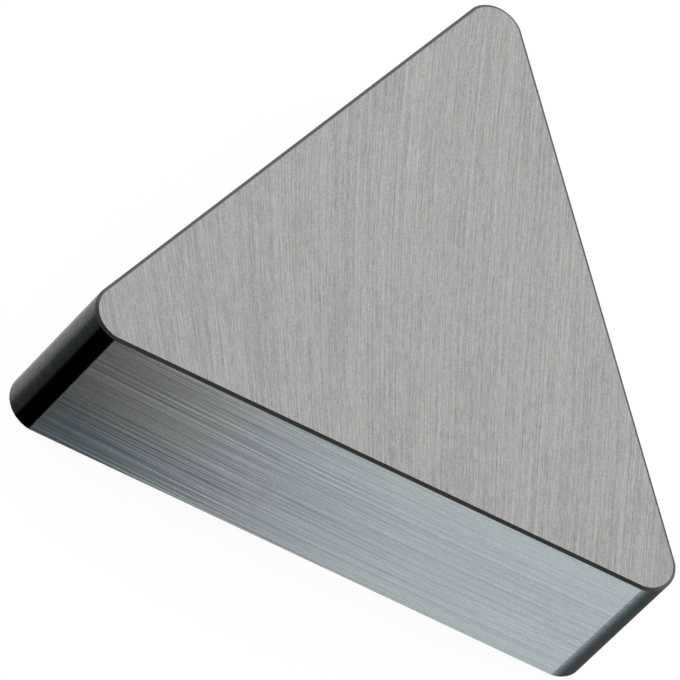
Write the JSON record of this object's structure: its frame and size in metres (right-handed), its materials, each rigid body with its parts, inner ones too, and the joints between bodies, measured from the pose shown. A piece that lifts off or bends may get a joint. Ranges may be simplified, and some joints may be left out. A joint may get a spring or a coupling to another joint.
{
  "type": "carbide insert",
  "caption": "Flat triangular turning insert with rounded noses, square flanks and a narrow bevelled land round each face; clamps in a toolholder pocket to cut metal.",
  "frame": {"origin": "centre of the inscribed circle on the seat face, which lies on the surface that the insert rests on", "axes": "+Z from the seat face up to the top face; the front flank faces -Y and runs along X; +Y points to the nose opposite the front flank"},
  "size_m": [0.0154, 0.0135, 0.0048],
  "materials": {
    "carbide": "ground"
  },
  "bodies": {
    "root": {"insert": "carbide"}
  },
  "joints": []
}
